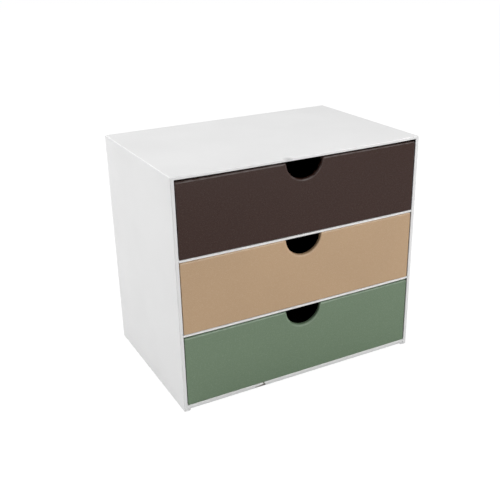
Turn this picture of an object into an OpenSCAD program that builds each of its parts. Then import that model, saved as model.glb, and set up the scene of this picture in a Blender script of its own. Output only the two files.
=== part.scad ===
// Desktop chest of three mini drawers, made as a rigid box: greyboard panels
// covered in glued paper, two fixed shelves and three trays that pull out.
//
// Millimetres, +Z up. The origin is in the middle of the footprint, on the
// surface that the case stands on. The front faces -Y and the width is along X.

/* [Case] */
// Overall width of the case
case_w = 260; // [200:1:340]
// Overall depth, from the front edges to the back sheet
case_d = 171; // [130:1:240]
// Overall height of the case
case_h = 229; // [180:1:300]
// Greyboard of the case's top, bottom and back panels
case_board = 2.4; // [2:0.1:4]
// Greyboard of the case's two side walls
side_board = 3.4; // [2:0.1:4]
// Greyboard of the two shelves
shelf_board = 2; // [1.5:0.1:3]
// How far the lower shelf sits above the even third of the height
lower_shelf_raise = 0.2; // [0:0.1:2]
// How far the upper shelf sits below the even third of the height
upper_shelf_drop = 0.7; // [0:0.1:2]
// Greyboard of the base plate under the bottom panel
base_board = 1.7; // [0.8:0.1:3]
// Height of the base plate's underside over the ground
base_lift = 1.7; // [1:0.1:5]
// Distance of the base plate behind the case's front edges
base_setback = 0.8; // [0.2:0.1:5]

/* [Drawers] */
// Greyboard of the drawers' trays
drawer_board = 2; // [1.5:0.1:3]
// Greyboard of the face glued on the front of each tray
face_board = 3; // [1.5:0.1:4]
// Gap between a drawer and the lining on each side of it
side_gap = 0.6; // [0.3:0.1:2]
// Gap over a drawer in the lowest of the three bays
drawer_gap = 0.4; // [0.3:0.1:3]
// Clearance under a drawer, over the paper that it slides on
slide_gap = 0.1; // [0.05:0.05:0.5]
// Distance of a closed drawer's front behind the case's front edges
front_setback = 0.3; // [0:0.1:2]
// Gap behind a closed drawer
back_gap = 1.5; // [0.5:0.1:6]

/* [Finger notch] */
// Radius of the half-round finger notch in each drawer's front
notch_r = 18.3; // [12:0.1:24]

/* [Paper] */
// Thickness of the covering and lining papers
paper = 0.15; // [0.1:0.01:0.25]
// Thickness of the gummed stay tapes over the board joints
stay = 0.1; // [0.06:0.01:0.2]
// Length of each leg of a stay tape
stay_leg = 12; // [8:1:16]
// How far the case's wrap turns in past its front edges
front_turn_in = 12; // [6:1:20]
// How far the case's wrap turns onto the back panel
back_turn_in = 15; // [8:1:25]
// How far a drawer's wrap turns in past its rim and round its notch
rim_turn_in = 8; // [4:0.5:12]
// Bare margin round the back sheet
back_sheet_margin = 1.5; // [0.5:0.5:6]

/* [Hidden] */
PANELS = ["left", "right", "top", "bottom", "back"];
DRAWERS = ["bottom_drawer", "middle_drawer", "top_drawer"];
DRAWER_PARTS = ["face", "front", "back", "left", "right", "base", "stays", "wrap", "lining"];
SHELVES = ["lower_shelf", "upper_shelf"];

GREYBOARD = "#a9a296";
WHITE_PAPER = "#e6e6e5";
BLACK_PAPER = "#1b1a1a";
KRAFT_TAPE = "#b08d5f";
DRAWER_PAPERS = ["#697b65", "#b4997b", "#443633"];

// How far a cut runs past the faces that it opens.
past = 1;
// Space left between two stay tapes of the case.
stay_apart = 1;
// Sides of the circle that the notch is drawn with.
notch_sides = 96;

// Layers from an outer face to the board: wrap paper, then stay tape.
skin = paper + stay;

// Case, from the outside in.
left_x = -case_w / 2;
front_y = -case_d / 2;
back_y = case_d / 2;
wrap_back_y = back_y - paper;
board_x = left_x + skin;
board_front_y = front_y + paper;
board_back_y = back_y - paper - skin;
board_top_z = case_h - skin;
inner_x = board_x + side_board;
inner_back_y = board_back_y - case_board;
inner_top_z = board_top_z - case_board;
lined_x = inner_x + paper;
lined_back_y = inner_back_y - paper;
lined_top_z = inner_top_z - paper;

// Bottom panel: base plate, turned-in paper, board and floor paper.
base_top_z = base_lift + base_board;
bottom_board_z = base_top_z + paper;
bottom_board_top_z = bottom_board_z + case_board;
floor_z = bottom_board_top_z + paper;

// The shelves stand near the thirds of the height. A bay reaches up to the shelf
// over it, or to the lining of the top.
shelf_t = shelf_board + 2 * paper;
third = (lined_top_z - floor_z + shelf_t) / len(DRAWERS);
bay_floors = [floor_z, floor_z + third + lower_shelf_raise, floor_z + 2 * third - upper_shelf_drop];
bay_tops = [bay_floors[1] - shelf_t, bay_floors[2] - shelf_t, lined_top_z];
lowest_bay_h = min(bay_tops - bay_floors);

// Drawers.
drawer_x = lined_x + side_gap;
drawer_front_y = front_y + front_setback;
drawer_back_y = lined_back_y - back_gap;
drawer_h = lowest_bay_h - slide_gap - drawer_gap;
drawer_wall = skin + drawer_board;
tray_front_y = drawer_front_y + paper + face_board;
wall_in_y = tray_front_y + stay + drawer_board;
notch_board_r = notch_r + paper;
notch_turn_r = notch_r + rim_turn_in;

// A block between two opposite corners.
module block(low, high) {
    translate(low) cube(high - low);
}

// A block that is symmetric about the middle plane, from its left side's x.
module centred_block(x, y, z) {
    block([x, y[0], z[0]], [-x, y[1], z[1]]);
}

// ---------------------------------------------------------------- case

module case_side(mirrored) {
    color(GREYBOARD)
    mirror([mirrored ? 1 : 0, 0, 0])
    block([board_x, board_front_y, 0], [inner_x, board_back_y, board_top_z]);
}

module case_top() {
    color(GREYBOARD)
    centred_block(inner_x, [board_front_y, board_back_y], [inner_top_z, board_top_z]);
}

module case_bottom() {
    color(GREYBOARD)
    centred_block(inner_x, [board_front_y, inner_back_y], [bottom_board_z, bottom_board_top_z]);
}

module case_back() {
    color(GREYBOARD)
    centred_block(inner_x, [inner_back_y, board_back_y], [0, inner_top_z]);
}

// A thin plate that covers the papers turned in under the bottom panel.
module case_base() {
    color(WHITE_PAPER)
    centred_block(inner_x, [front_y + base_setback, inner_back_y], [base_lift, base_top_z]);
}

// Gummed tape over the outer joints of the boards, under the wrap: one piece
// along each top edge and one up each back corner, cut short of each other.
module case_stays() {
    back_clear_y = board_back_y - stay_leg - stay_apart;
    top_clear_z = board_top_z - stay_leg - stay_apart;
    color(KRAFT_TAPE) {
        for (m = [0, 1]) mirror([m, 0, 0]) {
            difference() {
                block([board_x - stay, board_front_y, board_top_z - stay_leg],
                      [board_x + stay_leg, back_clear_y, board_top_z + stay]);
                block([board_x, board_front_y - past, board_top_z - stay_leg - past],
                      [board_x + stay_leg + past, back_clear_y + past, board_top_z]);
            }
            difference() {
                block([board_x - stay, board_back_y - stay_leg, 0],
                      [board_x + stay_leg, board_back_y + stay, top_clear_z]);
                block([board_x, board_back_y - stay_leg - past, -past],
                      [board_x + stay_leg + past, board_back_y, top_clear_z + past]);
            }
        }
        difference() {
            centred_block(board_x + stay_leg + stay_apart,
                          [board_back_y - stay_leg, board_back_y + stay],
                          [board_top_z - stay_leg, board_top_z + stay]);
            centred_block(board_x + stay_leg,
                          [board_back_y - stay_leg - past, board_back_y],
                          [board_top_z - stay_leg - past, board_top_z]);
        }
    }
}

// One sheet over the left side, the top and the right side. It turns round the
// front edges to the inner faces and, at the rear, onto the back panel.
module case_wrap() {
    turn_y = front_y + paper + front_turn_in;
    skin_x = left_x + paper;
    color(WHITE_PAPER) {
        difference() {
            centred_block(left_x, [front_y, wrap_back_y], [0, case_h]);
            centred_block(skin_x, [board_front_y, wrap_back_y - paper], [-past, case_h - paper]);
            centred_block(lined_x, [front_y - past, board_front_y + past], [-past, lined_top_z]);
            centred_block(skin_x + back_turn_in, [back_y / 2, back_y],
                          [-past, case_h - paper - back_turn_in]);
        }
        difference() {
            centred_block(inner_x, [board_front_y, turn_y], [floor_z, inner_top_z]);
            centred_block(lined_x, [front_y, turn_y + past], [floor_z - past, lined_top_z]);
        }
    }
}

// Lining on the inner faces of the sides, the top and the back.
module case_lining() {
    start_y = front_y + paper + front_turn_in;
    color(WHITE_PAPER)
    difference() {
        centred_block(inner_x, [start_y, inner_back_y], [floor_z, inner_top_z]);
        centred_block(lined_x, [start_y - past, lined_back_y], [floor_z - past, lined_top_z]);
    }
}

// Covers the bottom panel, its front edge and a strip of its underside.
module case_floor_paper() {
    color(WHITE_PAPER) {
        difference() {
            centred_block(lined_x, [front_y, board_front_y + front_turn_in], [base_top_z, floor_z]);
            centred_block(inner_x, [board_front_y, back_y], [bottom_board_z, bottom_board_top_z]);
        }
        centred_block(inner_x, [board_front_y + front_turn_in, inner_back_y],
                      [bottom_board_top_z, floor_z]);
    }
}

module case_back_sheet() {
    color(WHITE_PAPER)
    centred_block(left_x + back_sheet_margin, [wrap_back_y, back_y],
                  [back_sheet_margin, case_h - back_sheet_margin]);
}

// ------------------------------------------------------------- shelves

// The shelf over bay number i.
module shelf(i) {
    bottom_z = bay_tops[i] + paper;
    color(GREYBOARD)
    centred_block(lined_x, [board_front_y, lined_back_y], [bottom_z, bottom_z + shelf_board]);
}

// Paper over both faces and the front edge of that shelf.
module shelf_wrap(i) {
    bottom_z = bay_tops[i];
    color(WHITE_PAPER)
    difference() {
        centred_block(lined_x, [front_y, lined_back_y], [bottom_z, bottom_z + shelf_t]);
        centred_block(lined_x - past, [board_front_y, back_y],
                      [bottom_z + paper, bottom_z + paper + shelf_board]);
    }
}

// ------------------------------------------------------------- drawers

// Lowest and highest points of drawer number i.
function drawer_z(i) = [bay_floors[i] + slide_gap, bay_floors[i] + slide_gap + drawer_h];

// Drawer number i as one block, less a margin on every face.
module drawer_block(i, margin) {
    z = drawer_z(i);
    centred_block(drawer_x + margin, [drawer_front_y + margin, drawer_back_y - margin],
                  [z[0] + margin, z[1] - margin]);
}

// The space inside drawer number i's walls and over its base, less a margin, up
// to a distance below its rim.
module drawer_inside(i, margin, below_rim) {
    z = drawer_z(i);
    centred_block(drawer_x + drawer_wall + margin,
                  [wall_in_y + margin, drawer_back_y - drawer_wall - margin],
                  [z[0] + drawer_wall + margin, z[1] - below_rim]);
}

// The round of the finger notch, centred on the rim, through the front wall.
module notch_round(i, r, from_y, to_y) {
    translate([0, to_y, drawer_z(i)[1]])
    rotate([90, 0, 0])
    cylinder(r = r, h = to_y - from_y, $fn = notch_sides);
}

// The board that shows as the drawer's front, under its wrap.
module drawer_face(i) {
    z = drawer_z(i);
    y = drawer_front_y + paper;
    color(GREYBOARD)
    difference() {
        centred_block(drawer_x + paper, [y, tray_front_y], [z[0] + paper, z[1] - paper]);
        notch_round(i, notch_board_r, y - past, tray_front_y + past);
    }
}

// The front wall of the tray, behind the face.
module drawer_front(i) {
    z = drawer_z(i);
    y = tray_front_y + stay;
    color(GREYBOARD)
    difference() {
        centred_block(drawer_x + skin, [y, wall_in_y], [z[0] + skin, z[1] - paper]);
        notch_round(i, notch_board_r, y - past, wall_in_y + past);
    }
}

module drawer_back(i) {
    z = drawer_z(i);
    y = drawer_back_y - skin;
    color(GREYBOARD)
    centred_block(drawer_x + skin, [y - drawer_board, y], [z[0] + skin, z[1] - paper]);
}

module drawer_side(i, mirrored) {
    z = drawer_z(i);
    x = drawer_x + skin;
    color(GREYBOARD)
    mirror([mirrored ? 1 : 0, 0, 0])
    block([x, wall_in_y, z[0] + skin],
          [x + drawer_board, drawer_back_y - skin - drawer_board, z[1] - paper]);
}

module drawer_base(i) {
    z = drawer_z(i)[0] + skin;
    color(GREYBOARD)
    centred_block(drawer_x + drawer_wall, [wall_in_y, drawer_back_y - drawer_wall],
                  [z, z + drawer_board]);
}

// Gummed tape up the four outer corners of a tray, under the face and the wrap.
module drawer_stays(i) {
    z = drawer_z(i);
    color(KRAFT_TAPE)
    difference() {
        centred_block(drawer_x + paper, [tray_front_y, drawer_back_y - paper],
                      [z[0] + skin, z[1] - rim_turn_in]);
        centred_block(drawer_x + skin, [tray_front_y + stay, drawer_back_y - skin], z);
        centred_block(drawer_x + paper + stay_leg, [front_y, back_y], z);
        centred_block(left_x, [tray_front_y + stay_leg, drawer_back_y - paper - stay_leg], z);
    }
}

// Coloured paper over a drawer's underside, its walls and its rim, turned down
// inside the rim and through the notch.
module drawer_wrap(i) {
    z = drawer_z(i);
    color(DRAWER_PAPERS[i])
    difference() {
        union() {
            difference() {
                drawer_block(i, 0);
                drawer_block(i, paper);
                drawer_inside(i, paper, -past);
            }
            difference() {
                drawer_inside(i, 0, 0);
                drawer_inside(i, paper, -past);
                centred_block(left_x, [front_y, back_y], [z[0] - past, z[1] - rim_turn_in]);
            }
            intersection() {
                union() {
                    notch_round(i, notch_board_r, drawer_front_y + paper, wall_in_y);
                    notch_round(i, notch_turn_r, wall_in_y, wall_in_y + paper);
                }
                drawer_block(i, 0);
            }
        }
        notch_round(i, notch_r, drawer_front_y - past, wall_in_y + paper + past);
    }
}

// Black paper over the inside of a drawer, below its turned-in rim.
module drawer_lining(i) {
    color(BLACK_PAPER)
    difference() {
        drawer_inside(i, 0, rim_turn_in);
        drawer_inside(i, paper, -past);
        notch_round(i, notch_turn_r, drawer_front_y, wall_in_y + paper + past);
    }
}

// -------------------------------------------------------------- object

case_side(false);  // case_left
case_side(true);  // case_right
case_top();
case_bottom();
case_back();
case_base();
case_stays();
case_wrap();
case_lining();
case_floor_paper();
case_back_sheet();
for (i = [0:len(SHELVES) - 1]) {
    shelf(i);
    shelf_wrap(i);
}
for (i = [0:len(DRAWERS) - 1]) {
    drawer_face(i);
    drawer_front(i);
    drawer_back(i);
    drawer_side(i, false);
    drawer_side(i, true);
    drawer_base(i);
    drawer_stays(i);
    drawer_wrap(i);
    drawer_lining(i);
}
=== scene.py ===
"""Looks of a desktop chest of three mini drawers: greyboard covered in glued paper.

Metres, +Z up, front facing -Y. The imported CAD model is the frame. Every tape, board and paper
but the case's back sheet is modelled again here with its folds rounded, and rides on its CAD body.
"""

import math
from collections import namedtuple
from contextlib import contextmanager

import bmesh
import bpy
from mathutils import Matrix, Vector


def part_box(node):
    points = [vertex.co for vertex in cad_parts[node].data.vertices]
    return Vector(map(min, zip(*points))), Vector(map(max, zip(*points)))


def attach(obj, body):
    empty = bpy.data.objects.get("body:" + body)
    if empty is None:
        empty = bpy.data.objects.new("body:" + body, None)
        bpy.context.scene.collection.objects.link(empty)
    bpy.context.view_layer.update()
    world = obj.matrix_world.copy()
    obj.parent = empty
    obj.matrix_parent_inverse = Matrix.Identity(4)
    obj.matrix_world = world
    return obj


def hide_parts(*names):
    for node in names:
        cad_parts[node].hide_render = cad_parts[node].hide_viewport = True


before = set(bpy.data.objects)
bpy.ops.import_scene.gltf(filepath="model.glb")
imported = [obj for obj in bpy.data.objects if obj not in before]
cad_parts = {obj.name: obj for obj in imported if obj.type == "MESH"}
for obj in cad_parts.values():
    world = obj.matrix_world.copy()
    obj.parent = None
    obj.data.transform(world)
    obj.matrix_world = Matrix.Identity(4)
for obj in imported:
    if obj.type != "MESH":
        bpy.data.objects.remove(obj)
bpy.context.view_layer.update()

MM = 0.001

# ------------------------------------------------------------------ sizes

DRAWERS = ("bottom_drawer", "middle_drawer", "top_drawer")
SHELVES = ("lower_shelf", "upper_shelf")

CASE_LOW, CASE_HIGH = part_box("case_wrap")
SHEET_LOW, SHEET_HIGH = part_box("case_back_sheet")
LINING_LOW, LINING_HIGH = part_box("case_lining")
BASE_LOW, BASE_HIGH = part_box("case_base")
FLOOR_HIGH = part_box("case_floor_paper")[1]

PAPER = SHEET_HIGH.y - SHEET_LOW.y
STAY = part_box("case_left")[0].x - CASE_LOW.x - PAPER
OPENING_X = FLOOR_HIGH.x
OPENING_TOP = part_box("case_top")[0].z - PAPER
TURN_IN_Y = LINING_LOW.y
BACK_TURN_IN = 15 * MM
FLOOR_TURN_UNDER = 12 * MM
STAY_LEG = 12 * MM
STAY_APART = 1 * MM
TAPE_MARGIN = 1.5 * MM

# Outer radii of the folds, and of the board arrises that lie under them.
CASE_FOLD = 0.8 * MM
FOOT_FOLD = 1.1 * MM
OPENING_FOLD = 0.5 * MM
FRONT_FOLD = 1.8 * MM
SHELF_FOLD = 0.95 * MM
FRONT_SIDE_FOLD = 0.5 * MM
DRAWER_FOLD = 1.1 * MM
INNER_FRONT_FOLD = 1.4 * MM
INNER_FOLD = 0.8 * MM
LINING_FOLD = 0.6 * MM
CASE_ARRIS = 0.7 * MM
TRAY_ARRIS = 0.9 * MM
HIDDEN_ARRIS = 0.3 * MM

# A fold bends this much or more, and is made of faces narrower than the strip width.
FOLD_ANGLE = math.radians(60)
FOLD_SEGMENTS = 5
HIDDEN_SEGMENTS = 3
STRIP_WIDTH = 0.8 * MM
SMOOTH_ANGLE = math.radians(35)

# How far the front edges have sunk in the middle under their own weight.
TOP_SAG = 0.7 * MM
SHELF_SAG = 0.4 * MM
SAG_COLUMNS = 24
SAG_ROWS = 6

# Each notch was punched by hand. It has its radius, its depth as a share of that, how far
# right of the middle it lies, and how much further right its back end lies.
Notch = namedtuple("Notch", "radius depth right skew")
NOTCHES = {
    "bottom_drawer": Notch(radius=18.9 * MM, depth=1.0, right=0.0, skew=1.6 * MM),
    "middle_drawer": Notch(radius=18.95 * MM, depth=1.0, right=0.0, skew=1.4 * MM),
    "top_drawer": Notch(radius=18.9 * MM, depth=0.94, right=0.5 * MM, skew=0.9 * MM),
}
NOTCH_SIDES = 48
NOTCH_CORNER = 2.0 * MM
RIM_TURN_IN = 8 * MM
NOTCH_TURN_IN = 8 * MM
FLAP = 4 * MM

# How much paler the folds are painted, in linear colour: partly rubbed paper, partly a painted
# highlight.
RUB_AND_HIGHLIGHT = 0.045

# A dent in the top's front fold: its middle, how far that is pushed in, and its radius.
DENT_PLACE = Vector((-17 * MM, CASE_LOW.y, CASE_HIGH.z))
DENT_PUSH = Vector((0, 0.3 * MM, -0.5 * MM))
DENT_REACH = 6 * MM
DENT_CUTS = 4

# A tear in the strip under the bottom bay: a tapering slit that ends in a slanting rip.
TEAR_PLACE = Vector((-46 * MM, CASE_LOW.y, BASE_HIGH.z))
TEAR_DEPTH = 2.6 * MM
SLIT_LENGTH = 8.5 * MM
SLIT_TAPER = 0.35
RIP_WIDTH = 1.6 * MM
RIP_SLANT = 2.6 * MM

LEFT, RIGHT = Vector((-1, 0, 0)), Vector((1, 0, 0))
FRONT, BACK = Vector((0, -1, 0)), Vector((0, 1, 0))
UP = Vector((0, 0, 1))

# How far two places may lie apart and still count as the same.
TINY = 0.001 * MM


# ------------------------------------------------------------------ bench tools


def deselect():
    """Leaves no object selected, for the operators that act on all that is."""
    bpy.ops.object.select_all(action="DESELECT")


def activate(piece):
    """Makes a piece the active object and the only selected one."""
    deselect()
    piece.select_set(True)
    bpy.context.view_layer.objects.active = piece


def block(name, low, high):
    """A cuboid between two corners, with its place in its mesh."""
    deselect()
    low, high = Vector(low), Vector(high)
    bpy.ops.mesh.primitive_cube_add(size=1, location=(low + high) / 2)
    piece = bpy.context.object
    piece.name = piece.data.name = name
    piece.scale = high - low
    bpy.ops.object.transform_apply(location=True, rotation=True, scale=True)
    return piece


@contextmanager
def editing(piece):
    """Edit mode on a piece, for the length of a with block."""
    activate(piece)
    bpy.ops.object.mode_set(mode="EDIT")
    yield
    bpy.ops.object.mode_set(mode="OBJECT")


def pick(kind, wanted):
    """In edit mode, selects only the faces, edges or vertices that wanted() accepts."""
    bpy.ops.mesh.select_mode(type=kind)
    bpy.ops.mesh.select_all(action="DESELECT")
    data = bpy.context.edit_object.data
    mesh = bmesh.from_edit_mesh(data)
    mesh.normal_update()
    for item in list({"FACE": mesh.faces, "EDGE": mesh.edges, "VERT": mesh.verts}[kind]):
        if wanted(item):
            item.select_set(True)
    bmesh.update_edit_mesh(data)


def middle(item):
    """Centre of a face or of an edge."""
    if hasattr(item, "calc_center_median"):
        return item.calc_center_median()
    return (item.verts[0].co + item.verts[1].co) / 2


def remove_faces(wanted):
    """In edit mode, deletes the wanted faces."""
    pick("FACE", wanted)
    bpy.ops.mesh.delete(type="FACE")


def cut(axis, place, wanted=lambda face: True):
    """In edit mode, cuts the wanted faces along the plane where that axis has that value."""
    pick("FACE", wanted)
    normal = Vector((axis == "x", axis == "y", axis == "z"))
    bpy.ops.mesh.bisect(plane_co=normal * place, plane_no=normal)


def extrude_edges(wanted, shift):
    """In edit mode, grows new faces from the wanted edges."""
    pick("EDGE", wanted)
    bpy.ops.mesh.extrude_edges_move(TRANSFORM_OT_translate={"value": shift})


def is_fold(edge):
    """True at an outer corner that paper would be folded round."""
    return edge.is_manifold and edge.is_convex and edge.calc_face_angle() > FOLD_ANGLE


def round_folds(radius, wanted=is_fold, segments=FOLD_SEGMENTS):
    """In edit mode, rounds the wanted edges."""
    pick("EDGE", wanted)
    bpy.ops.mesh.bevel(
        offset=radius, segments=segments, profile=0.5, affect="EDGES", clamp_overlap=True
    )


def soften(piece, radius_of, segments=FOLD_SEGMENTS):
    """Rounds every fold of a piece, each by the radius that radius_of() gives its edge."""
    with editing(piece):
        pick("EDGE", is_fold)
        mesh = bmesh.from_edit_mesh(piece.data)
        radii = sorted({radius_of(edge) for edge in mesh.edges if edge.select})
        for radius in radii:
            pick("EDGE", lambda edge: is_fold(edge) and radius_of(edge) == radius)
            bpy.ops.transform.edge_bevelweight(value=radius / radii[-1])
    apply(piece, "BEVEL", width=radii[-1], segments=segments, limit_method="WEIGHT")


def apply(piece, kind, **settings):
    """Adds a modifier with these settings and applies it."""
    activate(piece)
    modifier = piece.modifiers.new(kind, kind)
    for key, value in settings.items():
        setattr(modifier, key, value)
    bpy.ops.object.modifier_apply(modifier=modifier.name)


def thicken(piece, thickness):
    """Turns the outer face of a sheet into a closed sheet, with the thickness behind it."""
    apply(piece, "SOLIDIFY", thickness=thickness, offset=-1, use_even_offset=True)


def mark_folds(piece):
    """Gives a piece the attribute "fold": 1 on its rounded folds, fading to 0 where it is flat."""

    def is_strip(face):
        return 2 * face.calc_area() < STRIP_WIDTH * face.calc_perimeter()

    mesh = bmesh.new()
    mesh.from_mesh(piece.data)
    strips = {face for face in mesh.faces if is_strip(face)}
    folds = [float(strips.issuperset(vertex.link_faces)) for vertex in mesh.verts]
    mesh.free()
    piece.data.attributes.new("fold", "FLOAT", "POINT").data.foreach_set("value", folds)


def finish(piece, body, slot, material, *nodes):
    """Gives a piece its shading, material and body, and hides the CAD nodes it stands for."""
    mark_folds(piece)
    activate(piece)
    bpy.ops.object.shade_smooth_by_angle(angle=SMOOTH_ANGLE)
    apply(piece, "WEIGHTED_NORMAL", keep_sharp=True, weight=80)
    piece.data.materials.clear()
    piece.data.materials.append(material)
    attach(piece, body)
    if nodes:
        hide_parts(*nodes)
    return piece


def front_fold(edge, low, high):
    """Fold at a drawer's front: full over the rim and round the notch, crisp at the other sides."""
    place = middle(edge)
    beside = abs(place.x) > high.x - TINY or place.z < low.z + TINY
    return FRONT_SIDE_FOLD if beside else FRONT_FOLD


def at_foot(edge):
    """True for an edge of the side walls' feet, on the surface that the case stands on."""
    return all(vertex.co.z < PAPER + TINY and abs(vertex.co.x) > OPENING_X for vertex in edge.verts)


def at_notch_corner(edge, radius, centre_z):
    """True for an edge where the wall of a notch meets the rim."""
    return all(
        abs(abs(vertex.co.x) - radius) < 0.05 * MM and centre_z - vertex.co.z < 0.2 * MM
        for vertex in edge.verts
    )


def cut_notch(piece, radius, centre_z, y_from, y_to, corner=0.0):
    """Takes a half-round notch out of a closed piece, centred on its rim.

    The two corners where it meets the rim are rounded by the corner radius.
    """
    deselect()
    bpy.ops.mesh.primitive_cylinder_add(
        vertices=NOTCH_SIDES,
        radius=radius,
        depth=y_to - y_from,
        location=(0, (y_from + y_to) / 2, centre_z),
        rotation=(math.pi / 2, 0, 0),
    )
    cutter = bpy.context.object
    apply(piece, "BOOLEAN", operation="DIFFERENCE", solver="EXACT", object=cutter)
    bpy.data.objects.remove(cutter)
    if corner:
        with editing(piece):
            round_folds(corner, lambda edge: at_notch_corner(edge, radius, centre_z))


def warp_notch(piece, drawer):
    """Gives a notch the depth, place and skew that it was punched with."""
    notch = NOTCHES[drawer]
    reach = notch.radius + 1.2 * NOTCH_CORNER
    low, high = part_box(drawer + "_wrap")
    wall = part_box(drawer + "_lining")[0].y + PAPER - low.y
    rim = max(vertex.co.z for vertex in piece.data.vertices)

    def at_notch(vertex):
        x, y, z = vertex.co
        return y < low.y + 1.01 * wall and math.hypot(x, z - high.z) < reach

    ends = sorted({vertex.co.y for vertex in piece.data.vertices if at_notch(vertex)})
    with editing(piece):
        pick("VERT", at_notch)
        bpy.ops.transform.resize(value=(1, 1, notch.depth), center_override=(0, 0, rim))
        for y in ends:
            pick("VERT", lambda vertex: at_notch(vertex) and vertex.co.y == y)
            shift = notch.right + notch.skew * (y - low.y) / wall
            bpy.ops.transform.translate(value=(shift, 0, 0))


def sag(piece, depth, above):
    """Lowers the middle of a panel's front edge, fading to nothing at its ends and its back."""
    length = LINING_HIGH.y - CASE_LOW.y
    for vertex in piece.data.vertices:
        if vertex.co.z < above:
            continue
        across = min(1, abs(vertex.co.x) / OPENING_X)
        along = min(1, max(0, (LINING_HIGH.y - vertex.co.y) / length))
        vertex.co.z -= depth * (1 - across**4) * along**2


def cut_for_sag(above):
    """In edit mode, cuts a panel into the columns and rows that let it sag smoothly."""

    def panel(face):
        return middle(face).z > above

    for i in range(1, SAG_COLUMNS):
        cut("x", OPENING_X * (2 * i / SAG_COLUMNS - 1), panel)
    for i in range(1, SAG_ROWS):
        cut("y", CASE_LOW.y + (LINING_HIGH.y - CASE_LOW.y) * i / SAG_ROWS, panel)


def dent(piece):
    """Presses the top's front fold in round one place."""

    def near(face):
        place = middle(face)
        return abs(place.x - DENT_PLACE.x) < 3 * DENT_REACH and place.z > OPENING_TOP + TINY

    with editing(piece):
        for i in range(-DENT_CUTS, DENT_CUTS + 1):
            cut("x", DENT_PLACE.x + DENT_REACH * i / DENT_CUTS, near)
        for i in range(1, DENT_CUTS + 1):
            cut("y", DENT_PLACE.y + CASE_FOLD + DENT_REACH * i / DENT_CUTS, near)
    for vertex in piece.data.vertices:
        if vertex.co.z > OPENING_TOP + TINY:
            nearness = max(0, 1 - (vertex.co - DENT_PLACE).length / DENT_REACH)
            vertex.co += DENT_PUSH * nearness**2 * (3 - 2 * nearness)


# ------------------------------------------------------------------ finishes


# A Mix node's colour sockets have the names of its other kinds, so they go by number.
COLOUR_A, COLOUR_B, COLOUR_RESULT = 6, 7, 2


class Finish:
    """A material being built, with its shader and its nodes' links."""

    def __init__(self, name):
        self.material = bpy.data.materials.new(name)
        self.material.use_nodes = True
        self.tree = self.material.node_tree
        self.shader = self.tree.nodes["Principled BSDF"]
        self.place = self.tree.nodes.new("ShaderNodeTexCoord").outputs["Object"]

    def node(self, kind, inputs=(), **settings):
        """A new node with these settings, its inputs fed by socket name or number."""
        made = self.tree.nodes.new("ShaderNode" + kind)
        for key, value in settings.items():
            setattr(made, key, value)
        for key, value in dict(inputs).items():
            self.feed(made.inputs[key], value)
        return made

    def feed(self, socket, value):
        """Links another node's output to a socket, or sets the socket's own value."""
        if isinstance(value, bpy.types.NodeSocket):
            self.tree.links.new(value, socket)
        else:
            socket.default_value = value

    def noise(self, scale, detail=3, roughness=0.5, stretch=(1, 1, 1)):
        """Noise with that many waves in a metre."""
        placed = self.node("Mapping", {"Vector": self.place, "Scale": stretch}).outputs["Vector"]
        inputs = {"Vector": placed, "Scale": scale, "Detail": detail, "Roughness": roughness}
        return self.node("TexNoise", inputs).outputs["Fac"]

    def fit(self, value, low, high, start=0.0, end=1.0):
        """A value's range from low to high made one from start to end."""
        inputs = {"Value": value, "From Min": low, "From Max": high, "To Min": start, "To Max": end}
        return self.node("MapRange", inputs).outputs["Result"]

    def times(self, a, b):
        return self.node("Math", {0: a, 1: b}, operation="MULTIPLY").outputs["Value"]

    def sum(self, a, b):
        return self.node("Math", {0: a, 1: b}, operation="ADD").outputs["Value"]

    def blend(self, factor, a, b):
        """Colour a where the factor is 0, and b where it is 1."""
        inputs = {"Factor": factor, COLOUR_A: a, COLOUR_B: b}
        return self.node("Mix", inputs, data_type="RGBA").outputs[COLOUR_RESULT]

    def bump(self, *layers):
        """Stacks (height, distance) layers of relief on the shader's normal."""
        normal = None
        for height, distance in layers:
            inputs = {"Height": height, "Distance": distance, "Strength": 1.0}
            if normal:
                inputs["Normal"] = normal
            normal = self.node("Bump", inputs).outputs["Normal"]
        self.feed(self.shader.inputs["Normal"], normal)


def rgb(red, green, blue):
    """Linear colour of an sRGB one given from 0 to 255."""
    return tuple(linear(channel / 255) for channel in (red, green, blue)) + (1,)


def linear(value):
    """Linear light of one sRGB channel from 0 to 1."""
    return value / 12.92 if value <= 0.04045 else ((value + 0.055) / 1.055) ** 2.4


def shade(colour, share, added=0.0):
    """A darker or lighter version of a colour."""
    return tuple(channel * share + added for channel in colour[:3]) + (1,)


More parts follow.
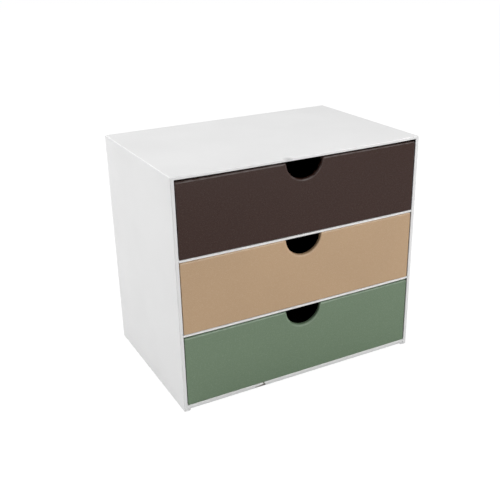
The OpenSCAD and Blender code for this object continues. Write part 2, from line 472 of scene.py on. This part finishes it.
def covering_paper(name, colour, gloss=0.55, roughness=0.25, darkened_place=None):
    """Printed covering paper: even colour, fine grain and a satin surface.

    Its folds are painted paler in patches, partly as rubbed paper and partly as a painted
    highlight, and are rubbed duller; round one given place it is painted darker.
    """
    made = Finish(name)
    cloud = made.fit(made.noise(14, detail=2), 0.3, 0.7)
    grain = made.fit(made.noise(1800, detail=2), 0.3, 0.7)
    patches = made.fit(made.noise(150, detail=4, roughness=0.65), 0.35, 0.65)
    fold = made.node("Attribute", attribute_name="fold").outputs["Fac"]
    rub_and_highlight = made.times(patches, fold)
    tone = made.blend(cloud, shade(colour, 0.975), shade(colour, 1.02))
    tone = made.blend(made.fit(grain, 0, 1, 0, 0.09), tone, shade(colour, 0.85))
    # Folds painted paler in patches: partly rubbed paper, partly a painted highlight.
    tone = made.blend(rub_and_highlight, tone, shade(colour, 1, RUB_AND_HIGHLIGHT))
    # Painted darker round one given place: the dent in the top's front fold.
    if darkened_place:
        apart = made.node("VectorMath", {0: made.place, 1: darkened_place}, operation="DISTANCE")
        nearness = made.fit(apart.outputs["Value"], 0.3 * DENT_REACH, DENT_REACH, 1, 0)
        darkening = made.times(nearness, made.fit(grain, 0, 1, 0.6, 1))
        tone = made.blend(darkening, tone, shade(colour, 0.66))
    made.feed(made.shader.inputs["Base Color"], tone)
    dull = made.fit(grain, 0, 1, roughness - 0.04, roughness + 0.05)
    made.feed(made.shader.inputs["Roughness"], made.sum(dull, made.times(rub_and_highlight, 0.1)))
    made.shader.inputs["Specular IOR Level"].default_value = gloss
    made.bump((made.noise(9, detail=1), 0.25 * MM), (grain, 0.006 * MM))
    return made.material


def greyboard(name):
    """Recycled grey board: pressed layers, short fibres and dark specks."""
    made = Finish(name)
    fibres = made.fit(made.noise(700, detail=4, stretch=(0.35, 0.35, 1)), 0.3, 0.7)
    layers = made.fit(made.noise(2600, detail=2, stretch=(0.04, 0.04, 1)), 0.35, 0.65)
    specks = made.fit(made.noise(1500, detail=1), 0.66, 0.72)
    colour = made.blend(fibres, (0.34, 0.31, 0.27, 1), (0.45, 0.42, 0.38, 1))
    colour = made.blend(made.fit(layers, 0, 1, 0, 0.35), colour, (0.3, 0.27, 0.24, 1))
    made.feed(made.shader.inputs["Base Color"], made.blend(specks, colour, (0.12, 0.11, 0.10, 1)))
    made.shader.inputs["Roughness"].default_value = 0.92
    made.shader.inputs["Specular IOR Level"].default_value = 0.15
    made.bump((fibres, 0.04 * MM), (layers, 0.02 * MM))
    return made.material


def gummed_tape(name):
    """Brown gummed kraft tape."""
    made = Finish(name)
    fibres = made.fit(made.noise(900, detail=3, stretch=(1, 0.2, 1)), 0.3, 0.7)
    colour = made.blend(fibres, (0.38, 0.235, 0.1, 1), (0.48, 0.305, 0.13, 1))
    made.feed(made.shader.inputs["Base Color"], colour)
    made.feed(made.shader.inputs["Roughness"], made.fit(fibres, 0, 1, 0.6, 0.75))
    made.bump((fibres, 0.01 * MM))
    return made.material


WHITE_TONE = rgb(230, 230, 230)
WHITE = covering_paper("white_coated_paper", WHITE_TONE, 0.3, 0.45)
# The cover is painted darker round the dent.
COVER = covering_paper("white_cover_paper", WHITE_TONE, 0.3, 0.45, darkened_place=DENT_PLACE)
BLACK = covering_paper("black_lining_paper", rgb(36, 35, 35), 0.15, 0.75)
DRAWER_PAPER = {
    "bottom_drawer": covering_paper("sage_green_paper", rgb(109, 130, 105)),
    "middle_drawer": covering_paper("tan_paper", rgb(188, 157, 123)),
    "top_drawer": covering_paper("dark_brown_paper", rgb(53, 30, 22), gloss=0.36),
}
DRAWER_SLOT = {
    "bottom_drawer": "green_paper",
    "middle_drawer": "tan_paper",
    "top_drawer": "brown_paper",
}
GREYBOARD = greyboard("greyboard")
TAPE = gummed_tape("kraft_gummed_tape")


# ------------------------------------------------------------------ boards and tapes


def board(
    node, body, arris, front_arris=None, back_arris=None, sagging=0.0, notched=False, mark=None
):
    """A board of the CAD model with its arrises crushed round by the glued paper.

    The front arris is a radius, or a function that gives one for an edge. The mark is a
    function that leaves a mark of use.
    """
    low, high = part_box(node)
    piece = block(node + "_board", low, high)
    if notched:
        notch_r = NOTCHES[body].radius + PAPER
        cut_notch(piece, notch_r, high.z + PAPER, low.y - MM, high.y + MM, NOTCH_CORNER)
        warp_notch(piece, body)

    def radius_of(edge):
        y = [vertex.co.y for vertex in edge.verts]
        if at_foot(edge):
            return FOOT_FOLD - PAPER
        if front_arris and max(y) < low.y + TINY:
            return front_arris(edge, low, high) if callable(front_arris) else front_arris
        if back_arris and min(y) > high.y - TINY:
            return back_arris
        return arris

    soften(piece, radius_of, HIDDEN_SEGMENTS)
    if sagging:
        with editing(piece):
            cut_for_sag(low.z - TINY)
        sag(piece, sagging, low.z - TINY)
    if mark:
        mark(piece)
    return finish(piece, body, "greyboard", GREYBOARD, node)


def corner_tape(low, high, sides, fold):
    """One strip of gummed tape folded round a corner. It lies on those two sides of a box."""
    tape = block("tape", low, high)
    with editing(tape):
        remove_faces(lambda face: all(face.normal.dot(side) < 0.5 for side in sides))
        round_folds(fold, segments=HIDDEN_SEGMENTS)
    thicken(tape, STAY)
    return tape


def join(pieces, name):
    """Makes one object of several."""
    activate(pieces[0])
    for piece in pieces:
        piece.select_set(True)
    bpy.ops.object.join()
    joined = bpy.context.object
    joined.name = joined.data.name = name
    return joined


def case_tapes():
    """Tapes over the board joints of the case: three along the top and two up the back."""
    low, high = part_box("case_stays")
    leg = STAY + STAY_LEG
    fold = CASE_FOLD - PAPER
    front, foot = low.y + TAPE_MARGIN, low.z + TAPE_MARGIN
    y, z = high.y - leg, high.z - leg
    tapes = []
    for side in (LEFT, RIGHT):
        x = sorted((side.x * high.x, side.x * (high.x - leg)))
        along_top = corner_tape((x[0], front, z), (x[1], y - STAY_APART, high.z), (side, UP), fold)
        up_back = corner_tape((x[0], y, foot), (x[1], high.y, z - STAY_APART), (side, BACK), fold)
        tapes += [along_top, up_back]
    inset = high.x - leg - STAY_APART
    tapes.append(corner_tape((-inset, y, z), (inset, high.y, high.z), (UP, BACK), fold))
    tapes = join(tapes, "case_corner_tapes")
    with editing(tapes):
        cut_for_sag(OPENING_TOP)
    sag(tapes, TOP_SAG, OPENING_TOP)
    return finish(tapes, "case", "kraft_tape", TAPE, "case_stays")


def drawer_tapes(drawer):
    """Tapes up the four outer corners of a drawer."""
    low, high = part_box(drawer + "_stays")
    leg = STAY_LEG
    foot = low.z + TAPE_MARGIN
    tapes = []
    for side in (LEFT, RIGHT):
        for end in (FRONT, BACK):
            x = sorted((side.x * high.x, side.x * (high.x - leg)))
            y = (low.y, low.y + leg) if end is FRONT else (high.y - leg, high.y)
            corner = ((x[0], y[0], foot), (x[1], y[1], high.z))
            tapes.append(corner_tape(*corner, (side, end), DRAWER_FOLD - PAPER))
    tapes = join(tapes, drawer + "_corner_tapes")
    return finish(tapes, drawer, "kraft_tape", TAPE, drawer + "_stays")


# ------------------------------------------------------------------ case


def case_cover():
    """The white sheet over the left side, the top and the right side.

    It turns in round the front edges, under the side walls' feet and onto the back.
    """
    cover = block("case_cover_paper", CASE_LOW, CASE_HIGH)
    turn = TURN_IN_Y
    back_x = CASE_HIGH.x - PAPER - BACK_TURN_IN
    back_z = CASE_HIGH.z - PAPER - BACK_TURN_IN

    def at_back(face):
        return face.normal.y > 0.9

    def inside_turn_ins(face):
        place = middle(face)
        return at_back(face) and abs(place.x) < back_x and place.z < back_z

    def in_opening(place):
        return abs(place.x) < OPENING_X + TINY and place.z < OPENING_TOP + TINY

    def at_front(edge):
        return edge.is_boundary and middle(edge).y < CASE_LOW.y + TINY

    def at_inner_foot(edge):
        place = middle(edge)
        inner = all(abs(abs(vertex.co.x) - OPENING_X) < TINY for vertex in edge.verts)
        return edge.is_boundary and inner and place.z < TINY and turn < place.y < LINING_HIGH.y

    def radius_of(edge):
        if all(in_opening(vertex.co) for vertex in edge.verts):
            return OPENING_FOLD
        return FOOT_FOLD if at_foot(edge) else CASE_FOLD

    with editing(cover):
        for x in (-OPENING_X, OPENING_X):
            cut("x", x)
        cut("z", OPENING_TOP)
        cut("z", BASE_HIGH.z)
        cut("y", turn)
        cut("y", LINING_HIGH.y, lambda face: face.normal.z < -0.9)
        cut("x", -back_x, at_back)
        cut("x", back_x, at_back)
        cut("z", back_z, at_back)
        remove_faces(lambda face: face.normal.y < -0.9 and in_opening(middle(face)))
        remove_faces(lambda face: face.normal.z < -0.9 and abs(middle(face).x) < OPENING_X)
        remove_faces(inside_turn_ins)
        extrude_edges(at_front, (0, turn - CASE_LOW.y, 0))
        extrude_edges(at_inner_foot, (0, 0, BASE_HIGH.z))
        bpy.ops.mesh.select_all(action="SELECT")
        bpy.ops.mesh.remove_doubles(threshold=TINY)
        bpy.ops.mesh.normals_make_consistent(inside=False)
    soften(cover, radius_of)
    with editing(cover):
        cut_for_sag(OPENING_TOP - 2 * TINY)
    sag(cover, TOP_SAG, OPENING_TOP - TINY)
    dent(cover)
    thicken(cover, PAPER)
    return finish(cover, "case", "white_paper", COVER, "case_wrap")


def case_lining():
    """White lining inside the bays, behind the turned-in cover."""
    low, high = Vector(LINING_LOW), Vector(LINING_HIGH)
    low.x, high.x, high.y, high.z = -OPENING_X, OPENING_X, high.y - PAPER, OPENING_TOP
    lining = block("case_lining_paper", low, high)
    with editing(lining):
        remove_faces(lambda face: face.normal.y < -0.9 or face.normal.z < -0.9)
        round_folds(CASE_FOLD - PAPER, segments=HIDDEN_SEGMENTS)
        cut_for_sag(OPENING_TOP - CASE_FOLD)
        bpy.ops.mesh.select_all(action="SELECT")
        bpy.ops.mesh.flip_normals()
    sag(lining, TOP_SAG, OPENING_TOP - CASE_FOLD)
    thicken(lining, PAPER)
    return finish(lining, "case", "white_paper", WHITE, "case_lining")


def tear(piece):
    """Rips a closed piece's front edge: a slit along it that ends in a rip across it."""
    x, y, z = TEAR_PLACE
    front, back, bottom, top = y - MM, y + TEAR_DEPTH, z - 1.2 * MM, z + 1.4 * MM
    slit = block("slit", (x - SLIT_LENGTH, front, bottom), (x + 2 * MM, back, top))
    rip_top = FLOOR_HIGH.z + MM
    rip = block("rip", (x - RIP_WIDTH / 2, front, bottom), (x + RIP_WIDTH / 2, back, rip_top))
    with editing(slit):
        pick("FACE", lambda face: face.normal.x < -0.9)
        bpy.ops.transform.resize(value=(1, 1, SLIT_TAPER), center_override=(x, y, z - 0.8 * MM))
    with editing(rip):
        pick("FACE", lambda face: face.normal.z < -0.9)
        bpy.ops.transform.translate(value=(RIP_SLANT, 0, 0))
    for cutter in (slit, rip):
        apply(piece, "BOOLEAN", operation="DIFFERENCE", solver="EXACT", object=cutter)
        bpy.data.objects.remove(cutter)


def foot_folds():
    """The cover's folded corners, pressed under the bottom panel beside the two front feet."""
    bottom = 0.1 * MM
    width, roundness = 3.2 * MM, 1.2 * MM
    front, back = CASE_LOW.y + 0.4 * MM, CASE_LOW.y + 8 * MM
    lumps = []
    for side in (LEFT, RIGHT):
        x = sorted((side.x * OPENING_X, side.x * (OPENING_X - width)))
        lump = block("lump", (x[0], front, bottom), (x[1], back, BASE_LOW.z))

        def inner_foot(edge):
            place = middle(edge)
            return place.z < bottom + TINY and place.x * side.x < OPENING_X - width + TINY

        with editing(lump):
            round_folds(roundness, inner_foot)
        lumps.append(lump)
    return finish(join(lumps, "case_foot_folds"), "case", "white_paper", WHITE)


def folded_edge_paper(name, node, fold, turned_under=None, sagging=0.0, torn=False):
    """Paper over a panel's top, round its front edge and back along its underside.

    It ends that far behind the front edge where it is turned under, and else at the back.
    """
    low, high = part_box(node)

    def under(face):
        return face.normal.z < -0.9

    paper = block(name, low, high)
    with editing(paper):
        remove_faces(lambda face: face.normal.y > 0.9 or abs(face.normal.x) > 0.9)
        if turned_under:
            turn = low.y + turned_under
            cut("y", turn, under)
            remove_faces(lambda face: under(face) and middle(face).y > turn)
        round_folds(fold)
        if sagging:
            cut_for_sag(low.z - TINY)
    if sagging:
        sag(paper, sagging, low.z - TINY)
    thicken(paper, PAPER)
    if torn:
        tear(paper)
    return finish(paper, "case", "white_paper", WHITE, node)


def base_plate():
    """The raised panel under the case: board with white paper all round."""
    inside = Vector((PAPER, PAPER, PAPER))
    core = block("case_base_core", BASE_LOW + inside, BASE_HIGH - inside)
    tear(core)
    finish(core, "case", "greyboard", GREYBOARD)
    paper = block("case_base_paper", BASE_LOW, BASE_HIGH)
    with editing(paper):
        round_folds(HIDDEN_ARRIS, segments=HIDDEN_SEGMENTS)
    thicken(paper, PAPER)
    tear(paper)
    return finish(paper, "case", "white_paper", WHITE, "case_base")


def case():
    """The case with its shelves, from the boards outwards."""
    for panel in ("left", "right", "back"):
        board("case_" + panel, "case", CASE_ARRIS)
    board("case_bottom", "case", CASE_ARRIS, mark=tear)
    board("case_top", "case", CASE_ARRIS, sagging=TOP_SAG, mark=dent)
    case_tapes()
    case_cover()
    case_lining()
    folded_edge_paper(
        "case_floor_cover_paper", "case_floor_paper", CASE_FOLD, FLOOR_TURN_UNDER, torn=True
    )
    base_plate()
    foot_folds()
    for shelf in SHELVES:
        board(shelf, "case", CASE_ARRIS, sagging=SHELF_SAG)
        folded_edge_paper(
            shelf + "_cover_paper", shelf + "_wrap", SHELF_FOLD, sagging=SHELF_SAG
        )
    back_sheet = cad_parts["case_back_sheet"]
    back_sheet.data.materials.clear()
    back_sheet.data.materials.append(WHITE)


# ------------------------------------------------------------------ drawers


def drawer_cover(drawer):
    """The coloured paper over a drawer's underside, walls and rim, turned in through the notch."""
    low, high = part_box(drawer + "_wrap")
    lining_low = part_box(drawer + "_lining")[0]
    notch_r = NOTCHES[drawer].radius
    wall = lining_low.x + PAPER - low.x
    front_wall = lining_low.y + PAPER - low.y
    floor_z = lining_low.z + PAPER
    turn_z = high.z - RIM_TURN_IN - FLAP
    tongue_z = high.z - notch_r - NOTCH_TURN_IN - FLAP
    tongue_x = notch_r + NOTCH_TURN_IN + FLAP

    def in_cavity(place):
        return (
            abs(place.x) < high.x - wall + TINY
            and low.y + front_wall - TINY < place.y < high.y - wall + TINY
        )

    def inner_wall(face):
        return in_cavity(middle(face)) and middle(face).z < high.z - TINY

    def inner_front(face):
        return inner_wall(face) and middle(face).y < low.y + front_wall + TINY

    def uncovered(face):
        place = middle(face)
        tongue = inner_front(face) and abs(place.x) < tongue_x and place.z > tongue_z
        return inner_wall(face) and place.z < turn_z and not tongue

    def radius_of(edge):
        y = max(vertex.co.y for vertex in edge.verts)
        if y < low.y + TINY:
            return front_fold(edge, low, high)
        if not all(in_cavity(vertex.co) for vertex in edge.verts):
            return DRAWER_FOLD
        return INNER_FRONT_FOLD if y < low.y + front_wall + TINY else INNER_FOLD

    cover = block(drawer + "_cover_paper", low, high)
    with editing(cover):
        pick("FACE", lambda face: face.normal.z > 0.9)
        bpy.ops.mesh.inset(thickness=wall)
        bpy.ops.mesh.extrude_region_move(TRANSFORM_OT_translate={"value": (0, 0, floor_z - high.z)})
        pick("FACE", lambda face: face.normal.y > 0.9 and middle(face).y < 0)
        bpy.ops.transform.translate(value=(0, front_wall - wall, 0))
    cut_notch(cover, notch_r, high.z, low.y - MM, low.y + front_wall + MM, NOTCH_CORNER)
    warp_notch(cover, drawer)
    soften(cover, radius_of)
    with editing(cover):
        cut("z", turn_z, inner_wall)
        cut("z", tongue_z, inner_front)
        cut("x", -tongue_x, inner_front)
        cut("x", tongue_x, inner_front)
        remove_faces(uncovered)
    thicken(cover, PAPER)
    return finish(cover, drawer, DRAWER_SLOT[drawer], DRAWER_PAPER[drawer], drawer + "_wrap")


def drawer_lining(drawer):
    """Black paper over the inside of a drawer, laid over the turned-in edges of its cover."""
    low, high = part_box(drawer + "_lining")
    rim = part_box(drawer + "_wrap")[1].z
    step = 2 * PAPER
    low = low + Vector((step, step, PAPER))
    high = Vector((high.x - step, high.y - step, high.z))
    lining = block(drawer + "_lining_paper", low, high)
    round_cut = NOTCHES[drawer].radius + NOTCH_TURN_IN
    depth = MM

    def in_cut(face):
        place = middle(face)
        return abs(place.x) < round_cut and low.y + TINY < place.y < low.y + 1.01 * depth

    cut_notch(lining, round_cut, rim, low.y - depth, low.y + depth)
    with editing(lining):
        remove_faces(lambda face: face.normal.z > 0.9 and middle(face).z > high.z - TINY)
        remove_faces(in_cut)
        round_folds(LINING_FOLD, segments=HIDDEN_SEGMENTS)
        bpy.ops.mesh.select_all(action="SELECT")
        bpy.ops.mesh.flip_normals()
    thicken(lining, PAPER)
    return finish(lining, drawer, "black_paper", BLACK, drawer + "_lining")


def drawer(name):
    """A drawer, from its boards outwards."""
    board(name + "_face", name, FRONT_SIDE_FOLD, front_fold, HIDDEN_ARRIS, notched=True)
    board(name + "_front", name, TRAY_ARRIS, HIDDEN_ARRIS, INNER_FRONT_FOLD, notched=True)
    for panel in ("back", "left", "right", "base"):
        board(name + "_" + panel, name, TRAY_ARRIS)
    drawer_tapes(name)
    drawer_cover(name)
    drawer_lining(name)


# ------------------------------------------------------------------ studio

FLOOR_GREY = 0.66
FLOOR_GLOW = 1.1
FLOOR_GLOW_SHARE = 0.9
WORLD_LEVEL = 0.2

# Each softbox has its place, seen from the middle of the chest, its size and its level.
SOFTBOXES = {
    "key_softbox": ((0.68, -0.85, 0.87), 0.8, 0.36),
    "front_softbox": ((0.35, -1.4, 0.3), 1.0, 0.32),
    "left_softbox": ((-1.4, 0.4, 0.6), 0.8, 0.53),
    "top_softbox": ((0.1, 0.1, 1.5), 1.0, 0.38),
    "rear_softbox": ((-0.4, 1.25, 0.8), 0.6, 0.26),
}

CAMERA_PLACE = (-0.34817, -0.64619, 0.41229)
CAMERA_AZIMUTH = -27.435
CAMERA_ELEVATION = 22.597
CAMERA_ROLL = -1.311
LENS = 54.616


def floor_and_backdrop():
    """A pale floor that the camera sees as white with the object's soft shadow on it."""
    deselect()
    bpy.ops.mesh.primitive_plane_add(size=16)
    floor = bpy.context.object
    floor.name = "studio_floor"
    material = bpy.data.materials.new("pale_floor")
    material.use_nodes = True
    nodes, links = material.node_tree.nodes, material.node_tree.links
    nodes.clear()
    output = nodes.new("ShaderNodeOutputMaterial")
    diffuse = nodes.new("ShaderNodeBsdfDiffuse")
    diffuse.inputs["Color"].default_value = (FLOOR_GREY, FLOOR_GREY, FLOOR_GREY, 1)
    glow = nodes.new("ShaderNodeEmission")
    glow.inputs["Strength"].default_value = FLOOR_GLOW
    path = nodes.new("ShaderNodeLightPath")
    seen = nodes.new("ShaderNodeMath")
    seen.operation = "MULTIPLY"
    seen.inputs[1].default_value = FLOOR_GLOW_SHARE
    links.new(path.outputs["Is Camera Ray"], seen.inputs[0])
    mix = nodes.new("ShaderNodeMixShader")
    links.new(seen.outputs[0], mix.inputs[0])
    links.new(diffuse.outputs[0], mix.inputs[1])
    links.new(glow.outputs[0], mix.inputs[2])
    links.new(mix.outputs[0], output.inputs[0])
    floor.data.materials.append(material)


def studio_world(strength):
    """White all round, at full white where the camera sees it."""
    world = bpy.data.worlds.new("studio")
    bpy.context.scene.world = world
    world.use_nodes = True
    nodes, links = world.node_tree.nodes, world.node_tree.links
    background = nodes["Background"]
    background.inputs["Color"].default_value = (1, 1, 1, 1)
    path = nodes.new("ShaderNodeLightPath")
    level = nodes.new("ShaderNodeMapRange")
    level.inputs["To Min"].default_value = strength
    level.inputs["To Max"].default_value = 1.0
    links.new(path.outputs["Is Camera Ray"], level.inputs["Value"])
    links.new(level.outputs["Result"], background.inputs["Strength"])


def softbox(name, offset, size, level):
    """A square area lamp that lights a white card in the chest's middle to about that level."""
    centre, offset = Vector((0, 0, CASE_HIGH.z / 2)), Vector(offset)
    lamp = bpy.data.lights.new(name, "AREA")
    lamp.shape = "SQUARE"
    lamp.size = size
    lamp.energy = level * math.pi**2 * offset.length_squared
    holder = bpy.data.objects.new(name, lamp)
    bpy.context.scene.collection.objects.link(holder)
    holder.location = centre + offset
    holder.rotation_euler = (-offset).to_track_quat("-Z", "Y").to_euler()


def camera():
    """A 55 mm lens on a square 36 mm frame, from the front left and a little above."""
    angles = (CAMERA_AZIMUTH, CAMERA_ELEVATION, CAMERA_ROLL)
    azimuth, elevation, roll = map(math.radians, angles)
    ahead = Vector((
        -math.sin(azimuth) * math.cos(elevation),
        math.cos(azimuth) * math.cos(elevation),
        -math.sin(elevation),
    ))
    right = ahead.cross(Vector((0, 0, 1))).normalized()
    up = right.cross(ahead)
    turned_right = math.cos(roll) * right + math.sin(roll) * up
    turned_up = -math.sin(roll) * right + math.cos(roll) * up
    data = bpy.data.cameras.new("camera")
    data.sensor_width = 36
    data.lens = LENS
    data.clip_start = 0.01
    data.clip_end = 50
    holder = bpy.data.objects.new("camera", data)
    bpy.context.scene.collection.objects.link(holder)
    axes = Matrix((turned_right, turned_up, -ahead)).transposed()
    holder.matrix_world = Matrix.Translation(CAMERA_PLACE) @ axes.to_4x4()
    bpy.context.scene.camera = holder


def studio():
    """Floor, white surroundings and soft light."""
    bpy.context.scene.view_settings.view_transform = "Standard"
    floor_and_backdrop()
    studio_world(WORLD_LEVEL)
    for name, (offset, size, level) in SOFTBOXES.items():
        softbox(name, offset, size, level)


camera()
studio()
case()
for drawer_name in DRAWERS:
    drawer(drawer_name)
